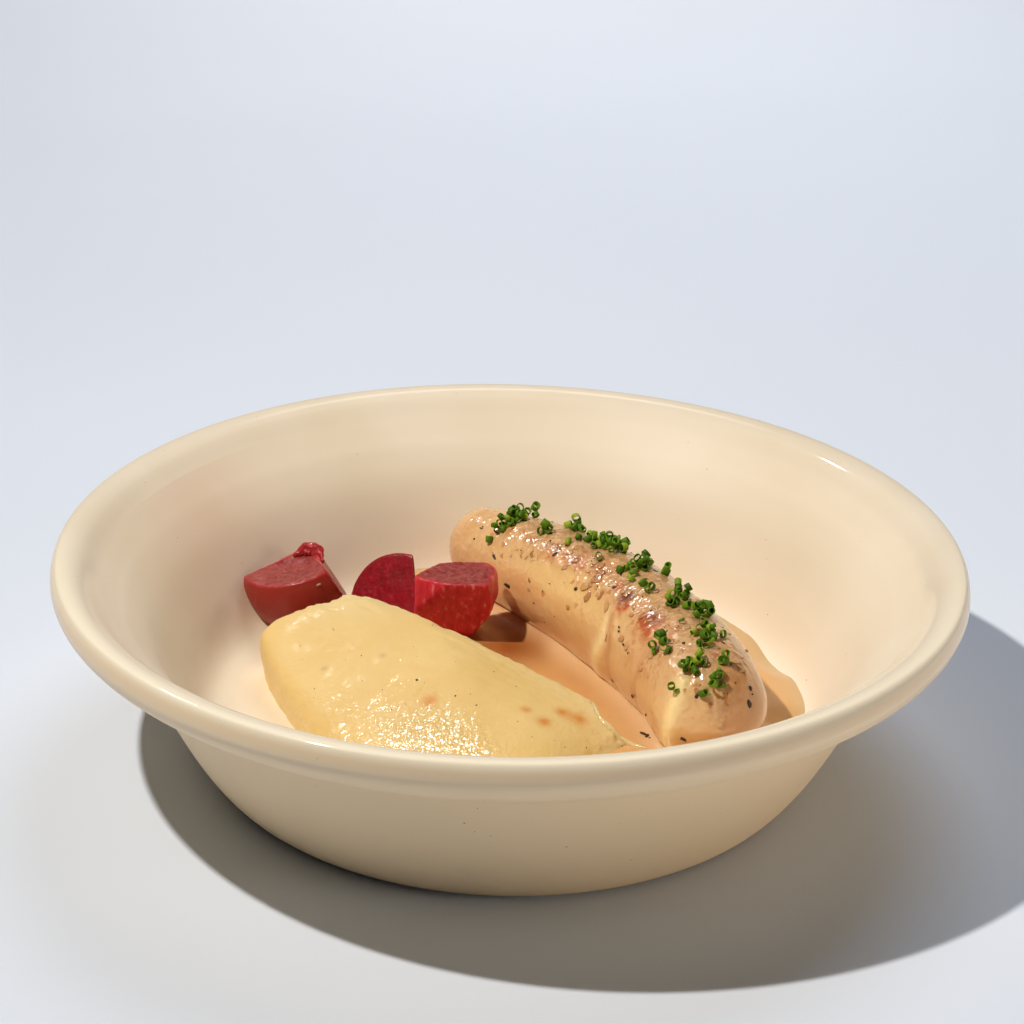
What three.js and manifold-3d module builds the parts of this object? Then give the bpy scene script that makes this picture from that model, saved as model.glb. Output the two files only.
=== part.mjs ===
// Bangers and mash in a rolled-rim stoneware bowl: one coated sausage with chopped chives,
// a spooned mound of mash, a pool of gravy and three red poached wedges.
// Millimetres, +Z up. The origin is the middle of the bowl's underside, -Y is the diner's side.

import * as THREE from "three";
import { mergeVertices } from "three/addons/utils/BufferGeometryUtils.js";
import Module from "manifold-3d";

// ---- driving dimensions -------------------------------------------------------------------

const clearance = 0.3; // gap kept between pieces that touch

const bowl = {
  radius: 120, // over the rolled rim
  height: 60.8,
  rollHalfWidth: 2, // the rim's outer shoulder is a quarter of an ellipse
  rollHalfHeight: 4.8,
  baseRadius: 77.7,
  baseRounding: 0.6,
  wallTop: 39, // where the outer wall ends and the underside of the rim begins
  wallTopRadius: 99.6,
  wallPower: 0.68, // the wall flares most just above the base
  wallShares: [0, 0.06, 0.18, 0.4, 0.7, 1], // heights of the rings of the outer wall
  floorHeight: 9.6,
  floorRadius: 56,
  footOuter: 75,
  footInner: 64,
  footRecess: 1.6,
  footSlope: 2, // width of the slope into the recess
  headroom: 20, // free room above the rim that the contents may reach into
  innerSteps: 12,
  segments: 64,
};

// The inside of the bowl from the edge of its flat floor to the inner side of the roll.
const innerWall = [
  [67, 10],
  [76, 12.2],
  [82.3, 16.4],
  [88.7, 28],
  [94.9, 39.6],
  [100.2, 46.8],
  [104, 50.8],
  [108, 54.9],
  [111.4, 58.3],
  [115, 60.35],
];

// The underside of the rim from the outer wall to the shoulder.
const underRim = [
  [103.2, 43.2],
  [110.4, 46.8],
  [115.6, 49.6],
  [119.2, 53.5],
];

const sausage = {
  start: [-6.6, 70.1], // plan positions of its centre line, a gentle curve
  bend: [43.5, 24.1],
  end: [52.1, -24.1],
  centreHeight: 27,
  radius: 17.3,
  startTaper: 0.31, // share of the radius lost at the far end
  endTaper: 0.09,
  taperPower: 4, // the taper stays close to the ends
  rings: 20,
  capRings: 5,
  sides: 24,
};

const chive = {
  outer: 1.25, // radius
  inner: 0.72,
  sides: 5,
  shortest: 1.9,
  longest: 3.1,
  apart: 1.9, // least distance between two rings
  deepest: 0.6, // height of its middle above the sausage, as a share of its radius
  highest: 0.9,
  tilt: 0.9, // how far one may stand up, as a slope
  tries: 200,
};

// Sprinkled clusters: how far along the sausage, how far round from its crest, spread and count.
const chiveClusters = [
  { along: 8, around: -4, reach: 8, swing: 40, count: 10 },
  { along: 26, around: -12, reach: 9, swing: 34, count: 10 },
  { along: 43, around: -7, reach: 10, swing: 32, count: 11 },
  { along: 62, around: -8, reach: 9, swing: 36, count: 9 },
  { along: 78, around: 0, reach: 9, swing: 30, count: 8 },
  { along: 88, around: -10, reach: 7, swing: 32, count: 8 },
  { along: 102, around: 14, reach: 8, swing: 42, count: 8 },
  { along: 112, around: 12, reach: 7, swing: 34, count: 8 },
  { along: 120, around: 14, reach: 5, swing: 36, count: 7 },
];

// A mound of flat sides that a spoon left, softly rounded where they meet. Each side is given by
// the way it faces, as azimuth and elevation in degrees, and its distance from the centre.
const mash = {
  centre: [-19.6, -2.7, 9.4], // just below the bowl's floor
  faces: [
    [58, 14, 16.2], // back
    [109, 14, 38],
    [-158, -10, 37], // blunt left end
    [-133, 8, 38.7],
    [-113, 48, 29.2], // long front slope
    [-46, 32, 47.7],
    [-4, 36, 51.6], // thin right end
    [46, 19, 38.7],
    [-20, 78, 21.5], // top
    [-119, 68, 19.9],
  ],
  softness: 11, // higher is sharper
  swell: 1.02, // makes up for what the softness takes off
  skirt: 2, // how far its rim runs on below the floor, before the bowl trims it
  dome: { centre: [-19, -14], length: 52, width: 34, height: 22, turn: -27 }, // spreads the facets
  spokes: 40,
  rings: 11,
};

// A thin lip that the spoon dragged off the mound's right end, an arc that stands on the floor.
const mashLip = {
  centre: [2, -31, 15.9],
  reach: 31,
  from: -10, // degrees
  to: 62,
  radius: 1.7,
  steps: 11,
  sides: 6,
};

// Wedges cut from small round beets. Each is a ball trimmed by flat cuts, and a cut is given by the
// way it faces, as azimuth and elevation in degrees, and its distance from the wedge's middle.
const wedges = {
  beet_left: {
    middle: [-61, 46, 22],
    ball: [-60.5, 49.5, 26.6, 17.2],
    cuts: [[-160, 75, 10.3], [17, 30.5, 11.1], [123, 0, 6.3]],
    crumbs: [[-58.4, 52.2, 34.1, 2.5], [-55.6, 50.4, 33.8, 1.8]],
  },
  beet_middle: {
    middle: [-34, 50, 19.5],
    ball: [-32, 47.5, 19.4, 14.2],
    cuts: [[-115, 32, 4.7], [5, 5, 7]],
    crumbs: [],
  },
  beet_right: {
    middle: [-15, 36, 27],
    ball: [-16, 32.5, 26, 16],
    cuts: [
      [0, 90, 9], // top
      [-91, -23, 6.3], // front
      [-10, 0, 10.8], // right
      [-5, -34, 10],
      [194, 0, 13], // left
      [-115, 0, 10.5],
      [144, 0, 7], // back
      [95, 0, 5.2],
    ],
    crumbs: [],
  },
};
const wedgeSides = 20;
const crumbSides = 7;

// Gravy fills the bowl to the right of an edge that runs under the mash from the back to the front.
const gravy = {
  level: 15.2,
  edge: [[-50, 90], [-46, 56], [-32, 22], [0, -18], [20, -46], [37, -66], [42, -92]],
  steps: 14,
};

// ---- helpers ------------------------------------------------------------------------------

const wasm = await Module();
wasm.setup();

const radians = THREE.MathUtils.degToRad;

function seededRandom(seed) {
  let state = seed;
  return () => {
    state = (state * 1664525 + 1013904223) % 4294967296;
    return state / 4294967296;
  };
}

// A manifold solid from a closed geometry whose seam and pole vertices still lie doubled.
function solidOf(geometry) {
  const bare = geometry.clone();
  bare.deleteAttribute("normal");
  bare.deleteAttribute("uv");
  const merged = mergeVertices(bare, 1e-4);
  const index = merged.getIndex().array;
  const triangles = [];
  for (let i = 0; i < index.length; i += 3) {
    const [a, b, c] = [index[i], index[i + 1], index[i + 2]];
    if (a !== b && b !== c && c !== a) triangles.push(a, b, c);
  }
  return new wasm.Manifold(new wasm.Mesh({
    numProp: 3,
    vertProperties: new Float32Array(merged.getAttribute("position").array),
    triVerts: new Uint32Array(triangles),
  }));
}

function geometryOf(solid) {
  const { vertProperties, triVerts } = solid.getMesh();
  const geometry = new THREE.BufferGeometry();
  geometry.setAttribute("position", new THREE.BufferAttribute(vertProperties, 3));
  geometry.setIndex(new THREE.BufferAttribute(triVerts, 1));
  geometry.computeVertexNormals();
  return geometry;
}

// The largest closed piece: drops loose scraps and any hollow that fusing has sealed.
function mainPiece(solid) {
  return solid.decompose().sort((a, b) => b.volume() - a.volume())[0];
}

// A closed skin of rings between two pole points; rows[0] and the last row are single points.
function skin(rows) {
  const positions = [];
  const starts = [];
  for (const row of rows) {
    starts.push(positions.length / 3);
    for (const point of row) positions.push(point.x, point.y, point.z);
  }
  const around = rows[1].length;
  const index = [];
  for (let ring = 0; ring < rows.length - 1; ring++) {
    for (let k = 0; k < around; k++) {
      const next = (k + 1) % around;
      const [a, b] = [starts[ring] + k, starts[ring] + next];
      const [c, d] = [starts[ring + 1] + k, starts[ring + 1] + next];
      if (ring === 0) index.push(starts[0], c, d);
      else if (ring === rows.length - 2) index.push(a, starts[ring + 1], b);
      else index.push(a, c, d, a, d, b);
    }
  }
  const geometry = new THREE.BufferGeometry();
  geometry.setAttribute("position", new THREE.Float32BufferAttribute(positions, 3));
  geometry.setIndex(index);
  return geometry;
}

// A profile of [radius, height] points turned round the Z axis.
function turned(profile, segments) {
  const points = profile.map(([r, z]) => new THREE.Vector2(r, z));
  return new THREE.LatheGeometry(points, segments).rotateX(Math.PI / 2);
}

function direction(azimuth, elevation) {
  const across = Math.cos(elevation);
  return new THREE.Vector3(across * Math.cos(azimuth), across * Math.sin(azimuth), Math.sin(elevation));
}

// Distance from the mound's centre to its surface along a unit direction: the soft minimum of the
// distances to its sides. Grow moves every side out by that much.
function mashReach(way, grow) {
  let sum = 0;
  for (const [azimuth, elevation, distance] of mash.faces) {
    const facing = way.dot(direction(radians(azimuth), radians(elevation)));
    if (facing > 0) sum += (facing / (distance + grow)) ** mash.softness;
  }
  return mash.swell * sum ** (-1 / mash.softness);
}

// ---- bowl ---------------------------------------------------------------------------------

const rollTop = [bowl.radius - bowl.rollHalfWidth, bowl.height];
const rollCentre = [rollTop[0], bowl.height - bowl.rollHalfHeight];

// Inner surface from the middle of the floor to the top of the roll, moved inwards by an offset.
function innerProfile(offset) {
  const route = [[bowl.floorRadius, bowl.floorHeight], ...innerWall, rollTop];
  const curve = new THREE.SplineCurve(route.map(([r, z]) => new THREE.Vector2(r, z)));
  const points = [];
  for (let i = 0; i <= bowl.innerSteps; i++) {
    const point = curve.getPoint(i / bowl.innerSteps);
    const tangent = curve.getTangent(i / bowl.innerSteps);
    points.push([point.x - tangent.y * offset, point.y + tangent.x * offset]);
  }
  return [[0, bowl.floorHeight + offset], ...points];
}

function outerProfile() {
  const rise = bowl.wallTop - bowl.baseRounding;
  const wall = bowl.wallShares.map((share) => [
    bowl.baseRadius + (bowl.wallTopRadius - bowl.baseRadius) * share ** bowl.wallPower,
    bowl.baseRounding + rise * share,
  ]);
  const roll = [0, 45].map((degrees) => [
    rollCentre[0] + bowl.rollHalfWidth * Math.cos(radians(degrees)),
    rollCentre[1] + bowl.rollHalfHeight * Math.sin(radians(degrees)),
  ]);
  return [
    [0, bowl.footRecess],
    [bowl.footInner - bowl.footSlope, bowl.footRecess],
    [bowl.footInner, 0],
    [bowl.footOuter, 0],
    ...wall,
    ...underRim,
    ...roll,
  ];
}

function bowlGeometry() {
  return turned([...outerProfile(), ...innerProfile(0).reverse()], bowl.segments);
}

// The room inside the bowl that its contents may fill.
function roomSolid() {
  const lid = bowl.height + bowl.headroom;
  const inside = innerProfile(clearance);
  return solidOf(turned([...inside, [inside.at(-1)[0], lid], [0, lid]], bowl.segments));
}

// ---- contents -----------------------------------------------------------------------------

function wedgeSolid(form, grow = 0) {
  const [x, y, z, radius] = form.ball;
  let solid = solidOf(new THREE.SphereGeometry(radius + grow, wedgeSides, wedgeSides / 2 + 1)
    .rotateX(Math.PI / 2).translate(x, y, z));
  for (const [azimuth, elevation, distance] of form.cuts) {
    const facing = direction(radians(azimuth), radians(elevation));
    const size = 4 * radius;
    const waste = new THREE.BoxGeometry(size, size, size)
      .translate(0, 0, size / 2 + distance + grow)
      .applyQuaternion(new THREE.Quaternion().setFromUnitVectors(new THREE.Vector3(0, 0, 1), facing))
      .translate(...form.middle);
    solid = solid.subtract(solidOf(waste));
  }
  for (const [cx, cy, cz, size] of form.crumbs) {
    const lump = new THREE.SphereGeometry(size + grow, crumbSides, crumbSides - 2).translate(cx, cy, cz);
    solid = solid.add(solidOf(lump));
  }
  return solid;
}

// Rays from the mound's centre through a dome under it, so that the facets come out even.
function mashSolid(grow = 0) {
  const centre = new THREE.Vector3(...mash.centre);
  const { dome } = mash;
  const at = (turn, polar) => {
    const flat = new THREE.Vector2(dome.length * Math.cos(turn), dome.width * Math.sin(turn))
      .multiplyScalar(Math.sin(polar)).rotateAround(new THREE.Vector2(), radians(dome.turn));
    const way = new THREE.Vector3(dome.centre[0] + flat.x, dome.centre[1] + flat.y,
      mash.centre[2] + dome.height * Math.cos(polar)).sub(centre).normalize();
    return centre.clone().addScaledVector(way, mashReach(way, grow));
  };
  const rows = [[at(0, 0)]];
  for (let ring = 1; ring <= mash.rings; ring++) {
    const polar = (Math.PI / 2) * (ring / mash.rings);
    rows.push(Array.from({ length: mash.spokes }, (_, k) => at((2 * Math.PI * k) / mash.spokes, polar)));
  }
  const drop = new THREE.Vector3(0, 0, -mash.skirt);
  rows.push(rows.at(-1).map((point) => point.clone().add(drop)), [centre.clone().add(drop)]);
  return solidOf(skin(rows)).add(lipSolid(grow));
}

function lipSolid(grow) {
  const rows = [];
  for (let step = 0; step <= mashLip.steps; step++) {
    const share = step / mashLip.steps;
    const angle = radians(mashLip.from + (mashLip.to - mashLip.from) * share);
    const outward = new THREE.Vector3(Math.cos(angle), Math.sin(angle), 0);
    const middle = new THREE.Vector3(...mashLip.centre).addScaledVector(outward, mashLip.reach);
    const thickness = mashLip.radius * Math.sqrt(Math.sin(Math.PI * share)) + grow;
    if (step === 0 || step === mashLip.steps) {
      rows.push([middle]);
      continue;
    }
    rows.push(Array.from({ length: mashLip.sides }, (_, k) => {
      const turn = (2 * Math.PI * k) / mashLip.sides;
      const point = middle.clone().addScaledVector(outward, thickness * Math.cos(turn));
      const rise = thickness * Math.sin(turn);
      return point.setZ(rise < 0 ? mash.centre[2] - mash.skirt : middle.z + rise);
    }));
  }
  return solidOf(skin(rows));
}

const sausagePoints = [sausage.start, sausage.bend, sausage.end];
const sausageLine = new THREE.QuadraticBezierCurve3(
  ...sausagePoints.map(([x, y]) => new THREE.Vector3(x, y, sausage.centreHeight)));
const sausageLength = sausageLine.getLength();

// Place, radius, heading and side of the sausage at a share of its curve.
function sausageStation(share) {
  const { radius, startTaper, endTaper, taperPower } = sausage;
  const radiusAt = (u) => radius * (1 - startTaper * (1 - u) ** taperPower - endTaper * u ** taperPower);
  const step = 1e-3;
  const heading = sausageLine.getTangent(share);
  return {
    centre: sausageLine.getPoint(share),
    heading,
    side: new THREE.Vector3(heading.y, -heading.x, 0),
    radius: radiusAt(share),
    slope: (radiusAt(share + step) - radiusAt(share - step)) / sausageLine.getPoint(share + step)
      .distanceTo(sausageLine.getPoint(share - step)),
  };
}

// The skin of a ball that moves along the centre line while its radius changes, round at both ends.
function sausageSolid(grow = 0) {
  const ring = (station, forward) => {
    const across = Math.sqrt(1 - forward * forward);
    return Array.from({ length: sausage.sides }, (_, k) => {
      const turn = (2 * Math.PI * k) / sausage.sides;
      const way = station.heading.clone().multiplyScalar(forward)
        .addScaledVector(station.side, across * Math.cos(turn))
        .add(new THREE.Vector3(0, 0, across * Math.sin(turn)));
      return station.centre.clone().addScaledVector(way, station.radius + grow);
    });
  };
  const pole = (station, forward) =>
    [station.centre.clone().addScaledVector(station.heading, forward * (station.radius + grow))];
  const [first, last] = [sausageStation(0), sausageStation(1)];
  const rows = [pole(first, -1)];
  for (let i = 1; i < sausage.capRings; i++) {
    const angle = (Math.PI / 2 - Math.asin(first.slope)) * (i / sausage.capRings);
    rows.push(ring(first, -Math.cos(angle)));
  }
  for (let i = 0; i <= sausage.rings; i++) {
    const station = sausageStation(i / sausage.rings);
    rows.push(ring(station, -station.slope));
  }
  for (let i = sausage.capRings - 1; i > 0; i--) {
    const angle = (Math.PI / 2 + Math.asin(last.slope)) * (i / sausage.capRings);
    rows.push(ring(last, Math.cos(angle)));
  }
  rows.push(pole(last, 1));
  return solidOf(skin(rows));
}

// One short ring cut from a hollow chive, along X with its middle at the origin.
function chiveSolid(length) {
  const half = length / 2;
  const section = [
    [chive.inner, -half],
    [chive.outer, -half],
    [chive.outer, half],
    [chive.inner, half],
    [chive.inner, -half],
  ];
  return solidOf(turned(section, chive.sides).rotateY(Math.PI / 2));
}

// A point on the sausage and the way it faces; along is measured from the start of the centre line
// and may run past its end onto the round cap.
function onSausage(along, around) {
  const station = sausageStation(THREE.MathUtils.clamp(along / sausageLength, 0, 1));
  const past = Math.max(0, along - sausageLength) / station.radius;
  const way = station.side.clone().multiplyScalar(Math.sin(around))
    .add(new THREE.Vector3(0, 0, Math.cos(around))).multiplyScalar(Math.cos(past))
    .addScaledVector(station.heading, Math.sin(past));
  return { point: station.centre.clone().addScaledVector(way, station.radius), way };
}

function sprinkledSausage() {
  const random = seededRandom(11);
  const spread = () => random() + random() - 1;
  const taken = [];
  const rings = [];
  for (const cluster of chiveClusters) {
    for (let i = 0, tries = 0; i < cluster.count && tries < chive.tries; tries++) {
      const along = cluster.along + cluster.reach * spread();
      const around = radians(cluster.around + cluster.swing * spread());
      const { point, way } = onSausage(along, around);
      if (taken.some((other) => other.distanceTo(point) < chive.apart)) continue;
      taken.push(point);
      i++;
      const length = THREE.MathUtils.lerp(chive.shortest, chive.longest, random());
      const lying = new THREE.Vector3(spread(), spread(), spread()).cross(way).normalize();
      const axis = lying.addScaledVector(way, chive.tilt * random()).normalize();
      const turn = new THREE.Quaternion().setFromUnitVectors(new THREE.Vector3(1, 0, 0), axis);
      const height = chive.outer * THREE.MathUtils.lerp(chive.deepest, chive.highest, random());
      const seat = point.clone().addScaledVector(way, height);
      const matrix = new THREE.Matrix4().compose(seat, turn, new THREE.Vector3(1, 1, 1));
      rings.push(chiveSolid(length).transform(matrix.toArray()));
    }
  }
  return mainPiece(wasm.Manifold.union([sausageSolid(), ...rings]));
}

function gravySolid(neighbours, room) {
  const edge = new THREE.SplineCurve(gravy.edge.map(([x, y]) => new THREE.Vector2(x, y)));
  const outline = new THREE.Shape(edge.getPoints(gravy.steps));
  outline.lineTo(bowl.radius, gravy.edge.at(-1)[1]);
  outline.lineTo(bowl.radius, gravy.edge[0][1]);
  const slab = new THREE.ExtrudeGeometry(outline, { depth: gravy.level, bevelEnabled: false });
  const filled = solidOf(slab).intersect(room);
  return mainPiece(neighbours.reduce((solid, neighbour) => solid.subtract(neighbour), filled));
}

// ---- assembly -----------------------------------------------------------------------------

const part = new THREE.Group();

function addPiece(name, geometry, colour, roughness) {
  const material = new THREE.MeshStandardMaterial({ color: colour, roughness, metalness: 0 });
  const mesh = new THREE.Mesh(geometry, material);
  mesh.name = name;
  part.add(mesh);
}

const colours = { bowl: 0xeed6b7, sausage: 0xe6b988, mash: 0xebc57f, beet: 0x9c2a2c, gravy: 0xe0a066 };

const room = roomSolid();
const sausageNode = sprinkledSausage().intersect(room);
const sausageBlank = sausageSolid(clearance);
const wedgeBlanks = Object.values(wedges).map((form) => wedgeSolid(form, clearance));
const mashNode = mainPiece([sausageBlank, ...wedgeBlanks].reduce(
  (solid, blank) => solid.subtract(blank), mashSolid().intersect(room)));

addPiece("bowl", bowlGeometry(), colours.bowl, 0.3);
addPiece("sausage", geometryOf(sausageNode), colours.sausage, 0.4);
addPiece("mash", geometryOf(mashNode), colours.mash, 0.5);
for (const [name, form] of Object.entries(wedges)) {
  const wedge = mainPiece(wedgeSolid(form).intersect(room).subtract(sausageBlank));
  addPiece(name, geometryOf(wedge), colours.beet, 0.35);
}
const pool = gravySolid([sausageBlank, mashSolid(clearance), ...wedgeBlanks], room);
addPiece("gravy", geometryOf(pool), colours.gravy, 0.35);

export default part;
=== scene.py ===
from itertools import product

import bpy
import numpy as np
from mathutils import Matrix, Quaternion, Vector


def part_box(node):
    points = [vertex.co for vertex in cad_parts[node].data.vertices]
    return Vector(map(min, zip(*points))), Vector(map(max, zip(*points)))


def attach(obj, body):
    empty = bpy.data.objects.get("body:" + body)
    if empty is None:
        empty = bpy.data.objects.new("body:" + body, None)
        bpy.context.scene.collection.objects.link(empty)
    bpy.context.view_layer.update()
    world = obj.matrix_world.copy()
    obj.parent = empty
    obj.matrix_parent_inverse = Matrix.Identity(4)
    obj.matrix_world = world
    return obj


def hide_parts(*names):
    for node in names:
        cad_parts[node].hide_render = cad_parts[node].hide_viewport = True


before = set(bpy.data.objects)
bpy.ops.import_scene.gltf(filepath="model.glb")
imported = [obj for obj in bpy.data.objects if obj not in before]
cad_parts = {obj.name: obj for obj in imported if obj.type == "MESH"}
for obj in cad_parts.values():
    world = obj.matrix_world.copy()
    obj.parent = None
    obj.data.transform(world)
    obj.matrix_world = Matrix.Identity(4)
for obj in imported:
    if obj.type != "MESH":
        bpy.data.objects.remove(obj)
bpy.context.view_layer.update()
print("frame loaded:", sorted(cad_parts))

mm = 0.001  # shapes are worked out in millimetres and stored in metres


# small tools

def toLinear(hexColour):  # sRGB hex to the linear colour that a shader takes
    channels = [int(hexColour[i:i + 2], 16) / 255 for i in (1, 3, 5)]
    return [c / 12.92 if c <= 0.04045 else ((c + 0.055) / 1.055) ** 2.4 for c in channels] + [1.0]


def addNode(tree, kind, inputs=None, stops=None, **settings):
    node = tree.nodes.new("ShaderNode" + kind)
    for name, value in settings.items():
        setattr(node, name, value)
    for place, (position, hexColour) in enumerate(stops or []):
        points = node.color_ramp.elements
        point = points[place] if place < 2 else points.new(position)
        point.position = position
        point.color = toLinear(hexColour)
    for socket, value in (inputs or {}).items():
        if isinstance(value, bpy.types.NodeSocket):
            tree.links.new(value, node.inputs[socket])
        else:
            node.inputs[socket].default_value = value
    return node


def newMaterial(name, look):  # look holds the shader values that are the same all over
    material = bpy.data.materials.new(name)
    material.use_nodes = True
    shader = material.node_tree.nodes["Principled BSDF"]
    for socket, value in look.items():
        shader.inputs[socket].default_value = value
    return material, material.node_tree, shader


def noiseOn(tree, size, detail=2.0, **more):  # noise fixed to the piece, in waves of that many mm
    place = addNode(tree, "TexCoord").outputs["Object"]
    look = {"Vector": place, "Scale": 1000 / size, "Detail": detail, **more}
    return addNode(tree, "TexNoise", look).outputs["Fac"]


def stored(tree, label):  # the number that the mesh carries under that name
    return addNode(tree, "Attribute", attribute_name=label).outputs["Fac"]


def ramp(tree, share, *stops):
    return addNode(tree, "ValToRGB", {"Fac": share}, stops=stops).outputs["Color"]


def blend(tree, share, first, second):
    # from one colour to the other, each a hex text or a socket, by a socket or a stored number's name
    share = stored(tree, share) if isinstance(share, str) else share
    first, second = (toLinear(tone) if isinstance(tone, str) else tone for tone in (first, second))
    return addNode(tree, "Mix", {0: share, 6: first, 7: second}, data_type="RGBA").outputs[2]


def times(tree, one, other, **settings):
    return addNode(tree, "Math", {0: one, 1: other}, operation="MULTIPLY", **settings).outputs[0]


def mapped(tree, share, low, high, start=0.0, end=1.0):  # takes start..end to low..high
    reach = {"Value": share, "From Min": start, "From Max": end, "To Min": low, "To Max": high}
    return addNode(tree, "MapRange", reach).outputs[0]


def roughen(tree, shader, height, strength, distance, coat=True):  # relief too fine for the mesh
    relief = addNode(tree, "Bump", {"Height": height, "Strength": strength, "Distance": distance * mm})
    for socket in ("Normal", "Coat Normal")[:2 if coat else 1]:
        tree.links.new(relief.outputs["Normal"], shader.inputs[socket])


def addObject(name, data):  # a new object in the scene, with that data
    holder = bpy.data.objects.new(name, data)
    bpy.context.scene.collection.objects.link(holder)
    return holder


def smoothStep(low, high, value):
    share = np.clip((value - low) / (high - low), 0, 1)
    return share * share * (3 - 2 * share)


def unit(vectors):
    return vectors / np.linalg.norm(vectors, axis=-1, keepdims=True)


def fullTurn(count):  # that many angles, once round
    return np.linspace(0, 2 * np.pi, count, endpoint=False)


def bump(value, centre, width):  # bell curve
    return np.exp(-((value - centre) / width) ** 2)


def nearPoint(points, centre, reach):  # bell-shaped closeness to a point
    return bump(np.linalg.norm(points - centre, axis=-1), 0, reach)


def latticeNoise(points, size, seed):
    # value noise: random heights from -1 to 1 on a cubic lattice of that size, smoothly blended between
    scaled = np.asarray(points, float) / size
    cell = np.floor(scaled).astype(np.int64)
    part = scaled - cell
    part = part * part * (3 - 2 * part)
    total = np.zeros(scaled.shape[:-1])
    for corner in product((0, 1), repeat=3):
        weight = np.where(corner, part, 1 - part).prod(-1)
        key = (cell + corner) @ np.array([73856093, 19349663, 83492791]) + seed * 2654435761
        key = ((key ^ (key >> 13)) * 1274126177) & 0xffffffff
        key = ((key ^ (key >> 16)) * 668265263) & 0xffffffff
        total += weight * (key / 2147483648 - 1)
    return total


def cloudNoise(points, size, seed, octaves=3):  # value noise summed at halving sizes and strengths
    return sum(latticeNoise(points, size / 2 ** k, seed + k) / 2 ** k for k in range(octaves))


def splineThrough(points, steps):
    # Catmull-Rom spline: cubic stretches whose slope at a point is half the step between its neighbours
    known = np.asarray(points, float)
    padded = np.concatenate([known[:1], known, known[-1:]])
    place = np.linspace(0, len(known) - 1, steps)
    start = np.minimum(place.astype(int), len(known) - 2)
    share = (place - start)[:, None]
    a, b, c, d = (padded[start + k] for k in range(4))
    return 0.5 * (2 * b + (c - a) * share + (2 * a - 5 * b + 4 * c - d) * share ** 2
                  + (3 * b - a - 3 * c + d) * share ** 3)


def wayOf(azimuth, elevation):  # unit vector from degrees, for arrays too
    a, e = np.radians(azimuth), np.radians(elevation)
    return np.stack([np.cos(e) * np.cos(a), np.cos(e) * np.sin(a), np.sin(e)], -1)


def ballWays(rows, columns):  # unit vectors in rings from the lowest to the highest
    elevation = np.linspace(-90, 90, rows)[:, None]
    azimuth = np.linspace(0, 360, columns, endpoint=False)[None]
    return wayOf(azimuth + 0 * elevation, elevation + 0 * azimuth)


def closedSkin(grid):
    # rows of points round a closed form; the first and last rows each shrink to their mean point
    rows, columns = grid.shape[:2]
    points = withPoles(grid)
    ring = 1 + np.arange((rows - 2) * columns).reshape(rows - 2, columns)
    after = np.roll(ring, -1, axis=1)
    quads = np.stack([ring[:-1], after[:-1], after[1:], ring[1:]], -1).reshape(-1, 4)
    first = np.stack([np.zeros(columns, int), after[0], ring[0]], -1)
    last = np.stack([np.full(columns, len(points) - 1), ring[-1], after[-1]], -1)
    return points, [quads, np.concatenate([first, last])]


def withPoles(grid):
    inner = grid[1:-1].reshape(-1, *grid.shape[2:])
    return np.concatenate([grid[0].mean(0, keepdims=True), inner, grid[-1].mean(0, keepdims=True)])


def joined(forms):  # several closed forms as one list of points and faces
    points, faces, count = [], [], 0
    for part, groups in forms:
        points.append(part)
        faces += [group + count for group in groups]
        count += len(part)
    return np.concatenate(points), faces


def stripForm(line, facing, width, thickness, steps=48, sides=14):
    # a thin strip along a spline, lens-shaped across and tapering to nothing at both ends
    middle = splineThrough(line, steps)
    run = np.gradient(middle, axis=0)
    side = unit(np.cross(run, facing))
    out = unit(np.cross(side, run))
    taper = np.sqrt(np.clip(np.sin(np.pi * np.linspace(0, 1, steps)), 0, 1))[:, None]
    taper = taper * (1 + 0.25 * latticeNoise(middle, 2.0, 51)[:, None])
    turn = fullTurn(sides)
    across, rise = taper * width / 2 * np.cos(turn), taper * thickness / 2 * np.sin(turn)
    grid = middle[:, None] + across[..., None] * side[:, None] + rise[..., None] * out[:, None]
    return closedSkin(grid)


def lumpForm(middle, radius, seed):  # a ball whose radius swells and shrinks with noise
    way = ballWays(18, 26)
    reach = radius * (1 + 0.4 * cloudNoise(way + seed, 0.7, seed, 3))
    return closedSkin(np.array(middle) + reach[..., None] * way)


def enclosedVolume(points, faces):  # sum of the signed tetrahedra from the origin to each triangle
    total = 0
    for group in faces:
        for k in range(1, group.shape[1] - 1):
            a, b, c = points[group[:, 0]], points[group[:, k]], points[group[:, k + 1]]
            total += np.einsum("ij,ij->i", a, np.cross(b, c)).sum() / 6
    return total


def buildPiece(name, points, faces, material, slot, node=None, values=None):
    if enclosedVolume(points, faces) < 0:
        faces = [group[:, ::-1] for group in faces]
    mesh = bpy.data.meshes.new(name)
    mesh.from_pydata((points * mm).tolist(), [], [face for group in faces for face in group.tolist()])
    mesh.polygons.foreach_set("use_smooth", np.ones(len(mesh.polygons), bool))
    for label, numbers in (values or {}).items():
        attribute = mesh.attributes.new(label, "FLOAT", "POINT")
        attribute.data.foreach_set("value", (numbers + np.zeros(len(points))).astype(np.float32))
    mesh.materials.append(material)
    piece = addObject(name, mesh)
    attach(piece, "root")
    if node:
        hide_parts(node)
    print(name, "has", len(mesh.polygons), "faces")
    return piece


def reachOfLines(spots, line):
    # distance in plan from each spot to a line of points, and the side: positive on the left of its run
    a, b = line[:-1, :2], line[1:, :2]
    run = b - a
    offset = spots[..., None, :2] - a
    share = np.clip((offset * run).sum(-1) / (run ** 2).sum(-1), 0, 1)
    gap = offset - share[..., None] * run
    distance = np.sqrt((gap ** 2).sum(-1))
    nearest = distance.argmin(-1)[..., None]
    cross = np.take_along_axis(run[:, 0] * gap[..., 1] - run[:, 1] * gap[..., 0], nearest, -1)[..., 0]
    return np.take_along_axis(distance, nearest, -1)[..., 0] * np.sign(cross)


# camera and light

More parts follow.
